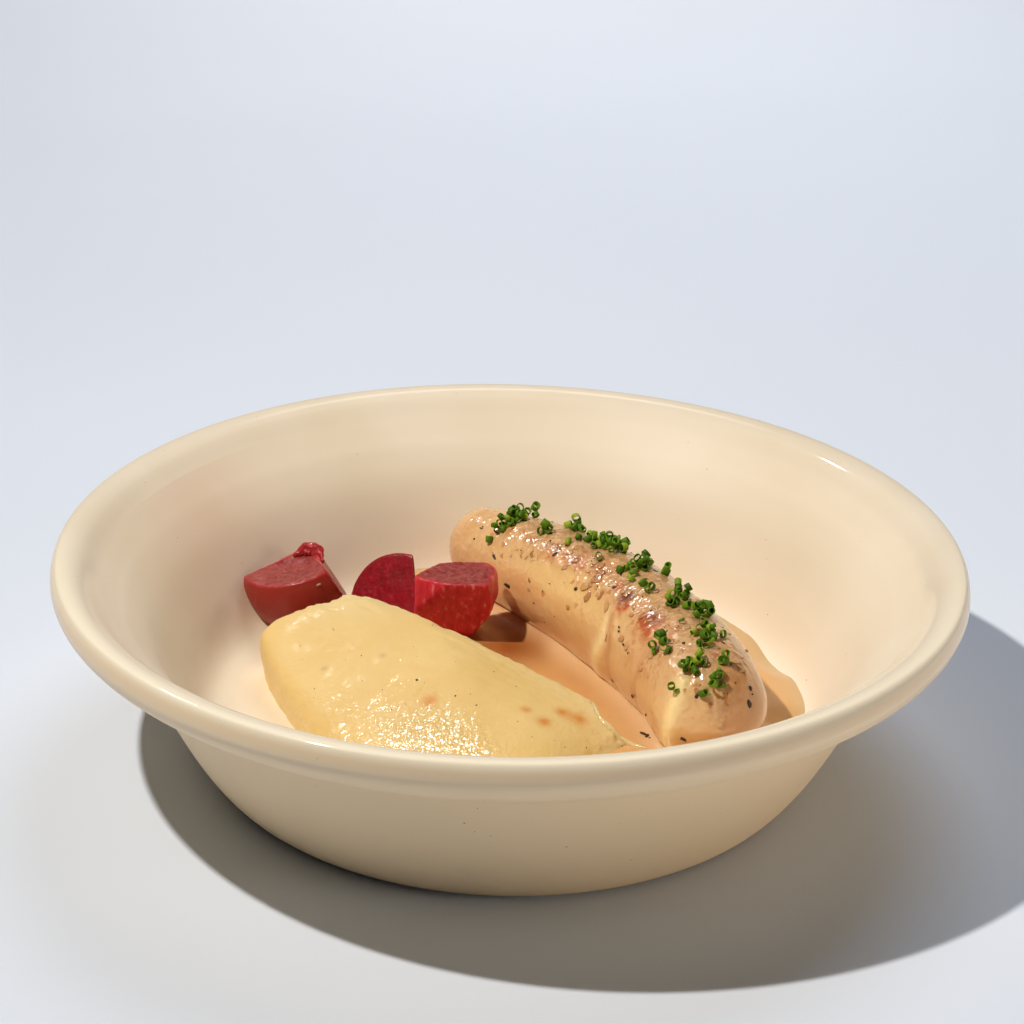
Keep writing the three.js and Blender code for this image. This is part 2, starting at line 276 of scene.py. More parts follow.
view = {
    "lens": 84.4,  # mm, on a 36 mm sensor
    "distance": 643,
    "elevation": 26.0,  # degrees
    "roll": 1.4,
    "targetHeight": 40,
    "shift": (0.0023, 0.0984),
}
studio = {
    "lamps": {  # place and target in mm, disk size in mm, watts, spread in degrees; evenFrom is the
        # distance in mm at which a lamp that doesn't fade with distance has its true strength; glints
        # "none" keeps a lamp out of every reflection, "only" keeps it out of all but those
        "key": {"place": (-302, -148, 610), "target": (0, 0, 0), "size": 22, "power": 4.35,
                "colour": "#fff5e9", "evenFrom": 697},
        "right fill": {"place": (1190, -390, 160), "target": (0, 0, 30), "size": 500, "power": 5.4,
                       "colour": "#fff0e0", "glints": "none"},
        "top": {"place": (300, 800, 1350), "target": (0, 0, 30), "size": 900, "power": 8.4,
                "colour": "#f1f5ff", "glints": "none"},
        "back": {"place": (0, 1500, 1500), "target": (-40, 1150, 0), "size": 900, "power": 2.3,
                 "colour": "#fff6ea", "spread": 60},  # lights the floor behind the bowl
        "sparkle": {"place": (-420, 520, 760), "target": (20, 20, 40), "size": 70, "power": 0.16,
                    "colour": "#ffffff", "spread": 60, "glints": "only"},
    },
    "skyStrength": 0.035,
    "skyColour": "#f4f6fb",
    "floorColour": "#d8e2f0",
    "floorMottle": "#d6e0ee",
    "floorReach": 4.0,  # metres from the middle to each side
}


def makeLamp(name, place, target, size, power, colour, spread=180, evenFrom=None, glints="too"):
    lamp = bpy.data.lights.new(name, "AREA")
    lamp.shape = "DISK"
    lamp.size = size * mm
    lamp.energy = power
    lamp.spread = np.radians(spread)
    lamp.color = toLinear(colour)[:3]
    if evenFrom:
        lamp.use_nodes = True
        tree = lamp.node_tree
        fading = addNode(tree, "LightFalloff", {"Strength": (evenFrom * mm) ** -2})
        tree.links.new(fading.outputs["Constant"], tree.nodes["Emission"].inputs["Strength"])
    holder = addObject(name, lamp)
    holder.location = Vector(place) * mm
    holder.rotation_euler = (Vector(target) - Vector(place)).to_track_quat("-Z", "Y").to_euler()
    holder.visible_camera = False
    holder.visible_diffuse = glints != "only"
    holder.visible_transmission = glints != "only"
    holder.visible_glossy = glints != "none"


def makeStudio():
    scene = bpy.context.scene
    scene.view_settings.view_transform = "Standard"
    lens = bpy.data.cameras.new("camera")
    lens.lens = view["lens"]
    lens.shift_x, lens.shift_y = view["shift"]
    camera = addObject("camera", lens)
    back = Vector(wayOf(-90, view["elevation"]))
    camera.location = (Vector((0, 0, view["targetHeight"])) + back * view["distance"]) * mm
    roll = Quaternion((0, 0, 1), np.radians(view["roll"]))
    camera.rotation_mode = "QUATERNION"
    camera.rotation_quaternion = (-back).to_track_quat("-Z", "Y") @ roll
    lens.clip_start, lens.clip_end = 0.01, 20
    scene.camera = camera

    for name, lamp in studio["lamps"].items():
        makeLamp(name, **lamp)

    world = bpy.data.worlds.new("studio")
    world.use_nodes = True
    sky = world.node_tree.nodes["Background"]
    sky.inputs["Color"].default_value = toLinear(studio["skyColour"])
    sky.inputs["Strength"].default_value = studio["skyStrength"]
    scene.world = world

    # painted board: matt, with a faint unevenness from the roller
    material, tree, shader = newMaterial("painted board", {"Roughness": 0.8, "Specular IOR Level": 0.2})
    tone = ramp(tree, noiseOn(tree, 333), (0.3, studio["floorColour"]), (0.7, studio["floorMottle"]))
    tree.links.new(tone, shader.inputs["Base Color"])
    far = studio["floorReach"]
    mesh = bpy.data.meshes.new("floor")
    mesh.from_pydata([(-far, -far, 0), (far, -far, 0), (far, far, 0), (-far, far, 0)], [], [(0, 1, 2, 3)])
    mesh.materials.append(material)
    floor = addObject("floor", mesh)
    print("studio made")


# bowl: wheel-thrown stoneware under a smooth cream glaze

bowl = {
    "baseRadius": 77.7,
    "baseRounding": 0.6,
    "wallTop": 39,
    "wallTopRadius": 99.6,
    "wallPower": 0.68,
    "under": [(101, 41), (103.2, 43.2), (106.6, 45.2), (110.4, 46.8), (114, 48.6), (117.1, 50.9),
              (119.2, 53.5)],
    "rollWidth": 2,
    "rollHeight": 4.8,
    "crest": 60.8,
    "foot": [(0, 1.6), (40, 1.6), (62, 1.6), (63.4, 0.5), (64.4, 0.05), (66, 0), (74.6, 0)],
    "inside": [(56, 9.6), (67, 10), (76, 12.2), (82.3, 16.4), (88.7, 28), (94.9, 39.6), (100.2, 46.8),
               (104, 50.8), (108, 54.9), (111.4, 58.3), (113.2, 59.6), (115, 60.35), (116.8, 60.75)],
    "wobble": 0.22,  # unevenness of the throwing
    "warp": 0.12,  # how far the rim rises and falls
    "rimLightRing": (117.4, 3.2),  # radius and reach of the painted light on the front of the crest
    "beetShadeSpot": (-88, 16, 40, 30),  # painted pink-brown shade on the left inner wall by the left wedge: x and its reach, y and its reach
    "around": 320,
}
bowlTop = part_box("bowl")[1] / mm
rollMiddle = np.array([bowlTop.x - bowl["rollWidth"], bowl["crest"] - bowl["rollHeight"]])
insideLine = splineThrough(bowl["inside"] + [(rollMiddle[0], bowl["crest"])], 120)


def floorHeight(radius):  # height of the bowl's inner surface
    return np.interp(radius, insideLine[:, 0], insideLine[:, 1])


def bowlProfile():
    # underside, a flaring wall whose radius grows as a power of the height, a spline under the rim, a
    # quarter ellipse over its shoulder, the inside
    share = np.linspace(0, 1, 46) ** 1.5
    rise = bowl["wallTop"] - bowl["baseRounding"]
    grow = bowl["wallTopRadius"] - bowl["baseRadius"]
    wall = np.stack([bowl["baseRadius"] + grow * share ** bowl["wallPower"],
                     bowl["baseRounding"] + rise * share], -1)
    shoulder = np.radians(np.linspace(0, 88, 20))[:, None]
    half = np.array([bowl["rollWidth"], bowl["rollHeight"]])
    roll = rollMiddle + half * np.concatenate([np.cos(shoulder), np.sin(shoulder)], 1)
    under = splineThrough([wall[-6], wall[-1], *bowl["under"], roll[0], roll[6]], 91)[11:-10]
    return np.concatenate([bowl["foot"], wall, under, roll, insideLine[::-1], [(30, 9.6), (0, 9.6)]])


def makeBowl():
    # surface of revolution whose radius swells a little with slow waves round the axis
    profile = bowlProfile()
    angle = fullTurn(bowl["around"])
    radius, height = profile[:, :1], profile[:, 1:]
    wave = np.sin(2 * angle + 0.7) + 0.6 * np.sin(3 * angle + 2.1) + 0.4 * np.sin(5 * angle + 4.0)
    radius = radius + bowl["wobble"] * wave * (height / bowlTop.z) * (radius / bowlTop.x)
    height = height + bowl["warp"] * np.sin(2 * angle + 3.0) * smoothStep(50, 60, height)
    grid = np.stack([radius * np.cos(angle), radius * np.sin(angle), height], -1)
    points, faces = closedSkin(grid)
    reach = np.hypot(points[:, 0], points[:, 1])
    edge = smoothStep(bowlTop.x - 1.2, bowlTop.x - 0.2, reach) * smoothStep(53, 56, points[:, 2])
    back = smoothStep(10, 70, points[:, 1])
    # painted shade: a pink-brown patch on the left inner wall, by the left wedge
    x, wide, y, deep = bowl["beetShadeSpot"]
    beetShadeSpot = bump(points[:, 0], x, wide) * bump(points[:, 1], y, deep) * smoothStep(12, 22, points[:, 2])
    front = smoothStep(40, -60, points[:, 1])
    # painted light: the crest is paler on the front half only
    crest = bump(reach, *bowl["rimLightRing"]) * smoothStep(58, 60, points[:, 2]) * front
    outside = (np.arange(len(profile)) < len(profile) - len(insideLine) - 8)[:, None] + 0 * angle
    values = {"amber": edge * back, "crest": crest, "outside": withPoles(outside),
              "paintedBeetShade": 0.35 * beetShadeSpot * (reach < 108),
              "gloss": smoothStep(107, 110, reach) * smoothStep(52, 56, points[:, 2])}
    buildPiece("stonewareBowl", points, faces, glazeMaterial(), "stoneware", "bowl", values)


def glazeMaterial():
    # fired glaze: a glassy coat over an off-white body, with pinholes and iron specks under it; the
    # rim is wiped and shinier than the wall
    material, tree, shader = newMaterial("cream glazed stoneware", {
        "Roughness": 0.55, "IOR": 1.5, "Coat Roughness": 0.07, "Coat IOR": 1.5})
    tone = ramp(tree, noiseOn(tree, 55.6, 3.0), (0.3, "#e3d6bd"), (0.7, "#ebe0cb"))
    # painted warm light: the outer wall gets a warmer cream that stands in for warm bounce light in its shade
    tone = blend(tree, "outside", tone, "#f4dab2")
    specks = ramp(tree, noiseOn(tree, 1.43, 1.0), (0.8, "#000000"), (0.84, "#ffffff"))
    tone = blend(tree, specks, tone, "#a98a66")
    # painted shade and light among these: the pink-brown patch by the left wedge, and the paler front of the
    # crest
    for label, colour in (("paintedBeetShade", "#d3a78f"), ("crest", "#fdf3da"), ("amber", "#b98a4c")):
        tone = blend(tree, label, tone, colour)
    tree.links.new(tone, shader.inputs["Base Color"])
    tree.links.new(mapped(tree, stored(tree, "gloss"), 0.0, 0.7), shader.inputs["Coat Weight"])
    roughen(tree, shader, noiseOn(tree, 16.7), 0.06, 1.0, coat=False)
    return material


# sausage: poached, under a thin creamy coat with small browned bits and herbs

sausage = {
    "start": (-6.6, 70.1, 27),  # its centre line is a quadratic curve through the air above the floor
    "bend": (43.5, 24.1, 27),
    "end": (52.1, -24.1, 27),
    "radius": 17.3,
    "startTaper": 0.31,
    "endTaper": 0.09,
    "taperPower": 4,
    "along": 420,
    "cap": 40,
    "around": 200,
}
skinSpots = {  # soft spots on the skin: strength, mm along, reach, degrees round from the crest, reach
    # painted light: a brighter cream patch on the flank, standing in for bounce light
    "paintedBounceLight": [(1, 48, 30, 60, 20)],
    "browned": [(0.75, 43, 7, 30, 9), (0.75, 57, 6, 20, 14), (1.05, 74.5, 3.2, 40, 10),
                (1.35, 91, 6.5, 38, 13)],
    "charred": [(1, 73.5, 3, 31, 8), (0.7, 89, 3.5, 29, 8)],
    "lumpyEnd": [(0.5, 122, 14, 16, 60), (0.9, 119, 7, 34, 18)],
    "roughEnd": [(1, 119, 7, 36, 20)],
    "dimple": [(1, 4, 4, 40, 16)],
}
skinLines = {  # lines drawn through (mm along, degrees round): their route, width and rise in mm
    "paleBand": ([(74.7, 51), (75.0, 77), (72.6, 96), (69, 129)], 2.6, 0.4),
    "fold": ([(74.6, 52), (78.6, 76), (79.4, 101), (82, 122)], 1.5, -0.3),
    "endFold": ([(99.6, 34), (99.5, 57), (98.6, 79), (98.6, 102), (99, 127)], 1.7, -0.35),
    # the ridge's paler colour is a painted highlight
    "ridge": ([(121.5, 40), (123, 50), (124.2, 66), (124.1, 93), (121.2, 124)], 2.5, 1.1),
}


def sausageStations(share):
    # place, radius, heading, sideways direction and how fast it narrows, at shares of the curve
    share = np.asarray(share, float)[..., None]
    start, bend, end = (np.array(sausage[key], float) for key in ("start", "bend", "end"))
    place = (1 - share) ** 2 * start + 2 * share * (1 - share) * bend + share ** 2 * end
    heading = 2 * (1 - share) * (bend - start) + 2 * share * (end - bend)
    speed = np.linalg.norm(heading, axis=-1, keepdims=True)
    heading = heading / speed
    side = np.stack([heading[..., 1], -heading[..., 0], 0 * heading[..., 0]], -1)
    power = sausage["taperPower"]
    atStart, atEnd = sausage["startTaper"], sausage["endTaper"]
    radius = sausage["radius"] * (1 - atStart * (1 - share) ** power - atEnd * share ** power)
    narrowing = atStart * (1 - share) ** (power - 1) - atEnd * share ** (power - 1)
    slope = sausage["radius"] * power * narrowing / speed
    return place, radius, heading, side, slope


sausageShares = np.linspace(0, 1, 201)
sausageLine = sausageStations(sausageShares)[0]
sausageRun = np.concatenate([[0], np.cumsum(np.linalg.norm(np.diff(sausageLine, axis=0), axis=1))])
sausageLength = sausageRun[-1]


def onSausage(along, around):
    # a point and the way it faces, from mm along the centre line and degrees round from the crest
    share = np.interp(along, sausageRun, sausageShares)
    place, radius, heading, side, slope = sausageStations(share)
    past = np.maximum(0, along - sausageLength)[..., None] / radius
    before = np.maximum(0, -along)[..., None] / radius
    turn = np.radians(around)[..., None]
    up = np.array([0, 0, 1.0])
    across = side * np.sin(turn) + up * np.cos(turn)
    way = across * np.cos(past + before) + heading * (np.sin(past) - np.sin(before))
    return place + radius * way, way


def crease(along, around, route, width):
    # bell-shaped closeness to a line drawn on the skin through (along, around) points
    perDegree = np.pi / 180 * sausage["radius"]
    spots = np.stack([along, around * perDegree], -1)
    line = splineThrough([(a, b * perDegree) for a, b in route], 12)
    return bump(reachOfLines(spots, line), 0, width)


def sausageGrid():
    # a ball swept along the curve while its radius changes, closed by its own round ends: points, the
    # way each faces, mm along and degrees round
    cap, along = sausage["cap"], sausage["along"]
    share = np.concatenate([np.zeros(cap), np.linspace(0, 1, along), np.ones(cap)])
    place, radius, heading, side, slope = sausageStations(share)
    slope = slope[:, 0]
    forward = -slope
    open0, open1 = np.pi / 2 - np.arcsin(slope[0]), np.pi / 2 + np.arcsin(slope[-1])
    forward[:cap] = -np.cos(open0 * np.arange(cap) / cap)
    forward[-cap:] = np.cos(open1 * np.arange(cap - 1, -1, -1) / cap)
    turn = np.linspace(-np.pi, np.pi, sausage["around"], endpoint=False)[None, :, None]
    across = np.sqrt(1 - forward ** 2)[:, None, None]
    up = np.array([0, 0, 1.0])
    ring = np.sin(turn) * side[:, None] + np.cos(turn) * up
    way = forward[:, None, None] * heading[:, None] + across * ring
    base = place[:, None] + radius[:, None] * way
    pastEnd = np.arcsin(np.clip(np.abs(forward), 0, 1)) * radius[:, 0]
    pastEnd = np.where(np.arange(len(share)) < cap, -1, 1) * pastEnd
    reach = np.interp(share, sausageShares, sausageRun)
    reach = np.where(share <= 0, np.minimum(0, pastEnd), reach)
    reach = np.where(share >= 1, sausageLength + np.maximum(0, pastEnd), reach)
    alongs = reach[:, None] + 0 * turn[..., 0]
    return base, way, alongs, np.degrees(turn[..., 0]) + 0 * alongs


def makeSausage():
    # the coat's lumps, beads, folds and a thicker skirt low on the far side are added along the skin's own
    # direction
    base, way, alongs, arounds = sausageGrid()
    spots = {name: sum(strength * bump(alongs, a, wide) * bump(arounds, b, swing)
                       for strength, a, wide, b, swing in places) for name, places in skinSpots.items()}
    lines = {name: crease(alongs, arounds, route, width) for name, (route, width, _) in skinLines.items()}
    band = bump(arounds, 32, 15) * smoothStep(12, 26, alongs) * smoothStep(108, 94, alongs)
    browned = 1.2 * band * smoothStep(0.1, 0.6, cloudNoise(base, 5, 33, 3)) + spots["browned"]
    skirt = smoothStep(-60, -95, arounds) * smoothStep(70, 110, alongs)
    lumpy = bump(arounds, 18, 44) * smoothStep(4, 16, alongs) + 0.45 * bump(alongs, 0, 12) + spots["lumpyEnd"]
    lumpy = np.clip(lumpy, 0, 1)
    beads = (np.maximum(0, latticeNoise(base, 1.5, 12) - 0.1)
             + 0.7 * np.maximum(0, latticeNoise(base, 1.0, 14) - 0.2))
    lumps = 0.35 * cloudNoise(base, 13, 3, 2) + lumpy * (0.22 * cloudNoise(base, 3.6, 7, 2) + 0.42 * beads)
    height = (lumps + sum(rise * lines[name] for name, (_, _, rise) in skinLines.items())
              + 0.3 * skirt - 0.3 * spots["charred"] - 0.5 * spots["dimple"]
              + 0.3 * spots["roughEnd"] * cloudNoise(base, 1.5, 16, 2))
    points, faces = closedSkin(base + height[..., None] * way)
    bitty = 0.1 + 0.6 * bump(arounds, 20, 34) * smoothStep(10, 26, alongs) + 0.25 * bump(arounds, -30, 40)
    # painted light: a brighter cream patch on the flank, standing in for bounce light
    values = {"crest": 0.95 * bump(arounds, -14, 46) * smoothStep(6, 22, alongs), "paintedBounceLight": spots["paintedBounceLight"],
              "browned": browned, "charred": spots["charred"], "bitty": bitty, "lumpy": lumpy,
              # painted highlight: the pale colour along the end ridge; the pale band is a raised paler line
              "pale": np.maximum(lines["paleBand"], lines["ridge"]),
              # painted shade: darker in the folds
              "foldShade": np.clip(lines["fold"] + lines["endFold"], 0, 1),
              # painted shade: darker and more orange low on the flank, and on the side turned away from the
              # key by the front end
              "low": 0.5 * smoothStep(85, 125, arounds),
              "far": 0.6 * smoothStep(6, -24, arounds) * smoothStep(96, 122, alongs)}
    buildPiece("sausageBody", points, faces, coatMaterial(), "sausage", "sausage",
               {label: withPoles(numbers) for label, numbers in values.items()})


def coatMaterial():
    # cream sauce over pork casing: milky, a little see-through, wet on top, with diced fried bits in it
    material, tree, shader = newMaterial("creamy gravy coat on pork", {
        "Roughness": 0.34, "IOR": 1.4, "Coat Roughness": 0.15, "Coat IOR": 1.6, "Subsurface Weight": 0.25,
        "Subsurface Radius": (1.0, 0.55, 0.3), "Subsurface Scale": 0.004})
    place = addNode(tree, "TexCoord").outputs["Object"]
    cells = addNode(tree, "TexVoronoi", {"Vector": place, "Scale": 1000 / 2.94, "Randomness": 0.9},
                    distance="MANHATTAN").outputs  # angular bits up to 3 mm
    chance = addNode(tree, "SeparateColor", {"Color": cells["Color"]}).outputs
    chosen = addNode(tree, "Math", {0: chance[0], 1: stored(tree, "bitty")}, operation="LESS_THAN").outputs[0]
    diced = times(tree, chosen, mapped(tree, cells["Distance"], 0.0, 1.0, 0.5, 0.36))
    bitTone = ramp(tree, chance[1], (0.0, "#d99c68"), (0.6, "#ca8452"), (1.0, "#b06a42"))
    patchy = ramp(tree, noiseOn(tree, 3.85, 4.0, Roughness=0.6), (0.34, "#303030"), (0.62, "#ffffff"))
    crest = times(tree, stored(tree, "crest"), patchy, use_clamp=True)
    browned = times(tree, stored(tree, "browned"), patchy, use_clamp=True)
    tone = ramp(tree, noiseOn(tree, 14.3, 3.0), (0.3, "#d8a66e"), (0.7, "#e4ba82"))
    # several tones below are painted light and shade: bounce light on the flank, shade low on the flank, on
    # the far side by the front end and in the folds, and a highlight along the end ridge
    layers = [(crest, "#b4875f"), ("paintedBounceLight", "#efc884"), ("low", "#cf9458"), ("far", "#c0844c"),
              ("pale", "#fae0a4"), (browned, "#bc5c2c"), (times(tree, diced, 0.8), bitTone),
              ("charred", "#6a342c"), ("foldShade", "#d29c68")]
    for share, colour in layers:
        tone = blend(tree, share, tone, colour)
    tree.links.new(tone, shader.inputs["Base Color"])
    tree.links.new(mapped(tree, browned, 1.0, 0.45), shader.inputs["Coat Weight"])
    lumps, beads = noiseOn(tree, 3.125, 1.0), noiseOn(tree, 1.25, 1.0)
    wavy = addNode(tree, "Math", {0: beads, 1: 0.3, 2: lumps}, operation="MULTIPLY_ADD").outputs[0]
    relief = addNode(tree, "Math", {0: diced, 1: 0.1, 2: wavy}, operation="MULTIPLY_ADD").outputs[0]
    roughen(tree, shader, relief, mapped(tree, stored(tree, "lumpy"), 0.2, 0.75), 1.0)
    return material


# small bits: each is a low dome over an uneven round outline, sunk into what it lies on

def chipForms(seats, ways, size, height, stretch, seed, sides=9):
    # polar outline with random reach at each corner, a shoulder ring, a top point and a shallow point
    # below
    draw = np.random.default_rng(seed)
    count = len(seats)
    first = unit(np.cross(ways, draw.normal(size=(count, 3))))
    second = np.cross(ways, first)
    angle = fullTurn(sides)
    reach = draw.uniform(0.7, 1.2, (count, sides)) * size[:, None] / 2
    u = (reach * np.cos(angle) * stretch[:, None])[..., None] * first[:, None]
    v = (reach * np.sin(angle) / stretch[:, None])[..., None] * second[:, None]
    tall = (height[:, None] * ways)[:, None]
    rim = seats[:, None] + u + v - 0.4 * tall
    shoulder = seats[:, None] + 0.78 * (u + v) + 0.75 * tall
    top = seats[:, None] + tall
    under = seats[:, None] - 0.6 * tall
    points = np.concatenate([under, rim, shoulder, top], axis=1)
    one = np.arange(sides)
    nextOne = (one + 1) % sides
    quads = np.stack([1 + one, 1 + nextOne, 1 + sides + nextOne, 1 + sides + one], -1)
    fans = np.concatenate([np.stack([0 * one, 1 + nextOne, 1 + one], -1),
                           np.stack([0 * one + 2 * sides + 1, 1 + sides + one, 1 + sides + nextOne], -1)])
    shift = (np.arange(count) * (2 * sides + 2))[:, None, None]
    return points.reshape(-1, 3), [(quads + shift).reshape(-1, 4), (fans + shift).reshape(-1, 3)]


bits = {  # browned diced bits in the coat
    "bands": [(20, 38, 9), (32, 34, 14), (41, 26, 14), (54, 30, 12), (66, 30, 10), (78, 26, 12), (92, 26, 12),
              (106, 30, 9), (120, 24, 7), (38, 74, 3), (60, 70, 3), (88, 74, 4), (104, 66, 3), (30, -12, 4),
              (55, -18, 5), (84, -24, 5), (108, -22, 5), (122, -30, 4)],  # along, around, how many
    "spread": (7.5, 16),
    "size": (1.3, 3.3),
    "height": (0.02, 0.06),
    "seed": 21,
}
flecks = {  # herb and pepper flecks in the coat: along, around, size
    "spots": [(4, 37, 1.0), (3.7, 54, 0.8), (15.3, 65, 2.2), (31.4, 21, 1.0), (37.4, 33, 2.0), (14, 76, 1.0),
              (23.6, 88, 2.6), (54.1, 53, 1.5), (40.7, 72, 0.7), (70.7, 4, 1.1), (63.6, 16, 1.6),
              (66.9, 31, 1.6), (78.4, 22, 0.9), (86.2, 26, 1.0), (80.8, 57, 0.8), (81.8, 60, 1.1),
              (107.3, 21, 1.7), (106, -49, 1.3), (109.5, -16, 1.0), (119, -16, 0.9), (123.7, -44, 1.8),
              (127.3, -53, 2.6), (126.2, 35, 2.0), (97.6, 104, 1.8), (81.6, 112, 1.2), (127, 109, 2.6),
              (87, 66, 1.0), (98.4, 27, 0.9), (48, -40, 1.2), (20, -50, 1.0), (75, -58, 1.4), (95, -66, 1.0)],
    "leaf": [(36, -21.8, 16.1, 1.6), (37.2, -23, 16.1, 1.8), (38.2, -24.2, 16.1, 1.2)],  # x, y, z, size
    "extra": 46,  # how many smaller ones, anywhere
    "shrink": 0.8,
    "height": 0.16,
    "seed": 8,
}


def makeBits():
    draw = np.random.default_rng(bits["seed"])
    bands = np.array([(a, b) for a, b, count in bits["bands"] for _ in range(count)], float)
    spread = np.array(bits["spread"])
    spots = bands + spread * np.clip(draw.normal(0, 0.75, bands.shape), -1.6, 1.6)
    seats, ways = onSausage(spots[:, 0], spots[:, 1])
    size = bits["size"][0] + (bits["size"][1] - bits["size"][0]) * draw.random(len(spots)) ** 2
    height = draw.uniform(*bits["height"], len(spots))
    stretch = draw.uniform(0.8, 1.5, len(spots))
    points, faces = chipForms(seats + 0.05 * ways, ways, size, height, stretch, bits["seed"])
    shade = np.repeat(draw.random(len(spots)), len(points) // len(spots))
    buildPiece("brownedBits", points, faces, bitMaterial(), "sausage", values={"shade": shade})

    draw = np.random.default_rng(flecks["seed"])
    spots = np.array(flecks["spots"], float)
    extra = np.stack([draw.uniform(2, 126, flecks["extra"]), draw.uniform(-80, 110, flecks["extra"]),
                      draw.uniform(0.3, 0.8, flecks["extra"])], -1)
    spots = np.concatenate([spots, extra])
    seats, ways = onSausage(spots[:, 0], spots[:, 1])
    stretch = draw.uniform(0.75, 1.7, len(spots))
    size = spots[:, 2] * flecks["shrink"]
    leaf = np.array(flecks["leaf"])  # a torn herb that lies on the pool
    seats = np.concatenate([seats, leaf[:, :3]])
    ways = np.concatenate([ways, np.tile((0, 0, 1.0), (len(leaf), 1))])
    size, stretch = np.concatenate([size, leaf[:, 3]]), np.concatenate([stretch, np.full(len(leaf), 1.5)])
    height = np.full(len(size), flecks["height"])
    points, faces = chipForms(seats + 0.12 * ways, ways, size, height, stretch, 5, 7)
    buildPiece("herbFlecks", points, faces, herbMaterial(), "chive")


def bitMaterial():
    # fried onion and mustard seed under a skin of sauce: amber brown, glossy
    material, tree, shader = newMaterial("fried bits in sauce", {
        "Roughness": 0.3, "IOR": 1.42, "Coat Weight": 0.5, "Coat Roughness": 0.08, "Subsurface Weight": 0.3,
        "Subsurface Radius": (1.0, 0.4, 0.2), "Subsurface Scale": 0.002})
    tone = ramp(tree, stored(tree, "shade"), (0.0, "#dba46a"), (0.75, "#cf8c54"), (1.0, "#b8703c"))
    tree.links.new(tone, shader.inputs["Base Color"])
    return material


def herbMaterial():
    # wilted herb and cracked pepper: nearly black, with a wet edge
    material, tree, shader = newMaterial("herb and pepper flecks", {
        "Roughness": 0.4, "IOR": 1.4, "Coat Weight": 0.3})
    tree.links.new(ramp(tree, noiseOn(tree, 8.33), (0.35, "#2a1a10"), (0.7, "#343018")),
                   shader.inputs["Base Color"])
    return material


# chives: short hollow rings in small heaps along the crest

chives = {
    "heaps": [  # along, around, reach along, swing around, count
        (12.6, 8, 1.9, 26, 25), (10.7, 47, 0.3, 2, 1), (30, -22, 3.4, 12, 11), (26.8, 8, 1.6, 10, 5),
        (37.9, 15, 0.4, 2, 1), (45.5, -12, 7.4, 17, 32), (51.5, 14, 0.5, 3, 1), (64.5, -5, 4.2, 20, 20),
        (73.6, 14, 0.5, 3, 1), (78, 12, 1, 3, 2), (87.5, 8, 1.8, 6, 6), (83, -9, 2, 6, 6),
        (93.3, -14, 2.6, 11, 13), (97.5, 11, 0.5, 3, 1), (105.5, 0, 3.8, 9, 10), (111.5, 4, 1.6, 6, 5),
        (106, -20, 0.4, 2, 1), (102, 33, 1.2, 4, 3), (102.8, 47, 0.9, 3, 2), (107.2, 36, 1.2, 4, 3),
        (118.5, 24, 1.8, 13, 10), (118.7, -5, 0.8, 3, 2), (124, 7, 1.6, 9, 7), (121.5, 51, 0.8, 4, 2),
        (126.5, 25, 0.4, 2, 1)],
    "radius": (1.0, 1.3),
    "wall": 0.26,
    "rounding": 0.1,
    "length": (0.8, 2.3),
    "apart": 1.45,  # least distance between two middles
    "layer": 1.2,
    "layers": 3,
    "sides": 14,
    "seed": 4,
}


def chiveSpots():
    # draws places in each heap and lifts a ring onto those below it
    draw = np.random.default_rng(chives["seed"])
    kept = []
    for along, around, reach, swing, count in chives["heaps"]:
        placed = 0
        for _ in range(60 * count):
            if placed == count:
                break
            spot = np.clip(draw.normal(0, 0.55, 2), -1, 1) * (reach, swing) + (along, around)
            seat, way = onSausage(spot[:1], spot[1:])
            for layer in range(chives["layers"]):
                middle = seat[0] + way[0] * (0.9 + layer * chives["layer"])
                if all(np.linalg.norm(middle - other) > chives["apart"] for other, _ in kept):
                    kept.append((middle, way[0]))
                    placed += 1
                    break
    return np.array([k[0] for k in kept]), np.array([k[1] for k in kept])


def makeChives():
    # a rounded-edged ring section carried round a circle that is squeezed a little to an oval
    middles, ways = chiveSpots()
    count = len(middles)
    draw = np.random.default_rng(chives["seed"] + 1)
    radius = draw.uniform(*chives["radius"], count)
    inner = radius - chives["wall"]
    half = draw.uniform(*chives["length"], count) / 2
    soft = chives["rounding"]
    radial = np.stack([radius - soft, radius, radius, radius - soft,
                       inner + soft, inner, inner, inner + soft], -1)
    axial = np.stack([-half, -half + soft, half - soft, half, half, half - soft, soft - half, -half], -1)
    angle = fullTurn(chives["sides"])
    squeeze = draw.uniform(0.72, 1.0, count)[:, None, None]
    y = radial[:, None] * np.cos(angle)[:, None] * squeeze
    z = radial[:, None] * np.sin(angle)[:, None]
    x = axial[:, None] + draw.uniform(-0.35, 0.35, count)[:, None, None] * y + 0 * z
    lying = unit(np.cross(draw.normal(size=(count, 3)), ways))
    axis = unit(lying + ways * draw.uniform(0, 1.6, count)[:, None])
    second = unit(np.cross(axis, ways))
    third = np.cross(axis, second)
    points = middles[:, None, None] + sum(amount[..., None] * direction[:, None, None] for amount, direction
                                          in ((x, axis), (y, second), (z, third)))
    sides, ringPoints = chives["sides"], radial.shape[1]
    index = np.arange(sides * ringPoints).reshape(sides, ringPoints)
    turned, onward = np.roll(index, -1, axis=0), np.roll(index, -1, axis=1)
    both = np.roll(turned, -1, axis=1)
    quads = np.stack([index, turned, both, onward], -1).reshape(-1, 4)
    quads = (quads + (np.arange(count) * sides * ringPoints)[:, None, None]).reshape(-1, 4)
    hollow = np.zeros((count, sides, ringPoints))
    hollow[..., 3:] = 1
    shade = draw.random(count)[:, None, None] + 0 * hollow
    buildPiece("chiveRings", points.reshape(-1, 3), [quads], chiveMaterial(), "chive",
               values={"hollow": hollow.ravel(), "shade": shade.ravel()})


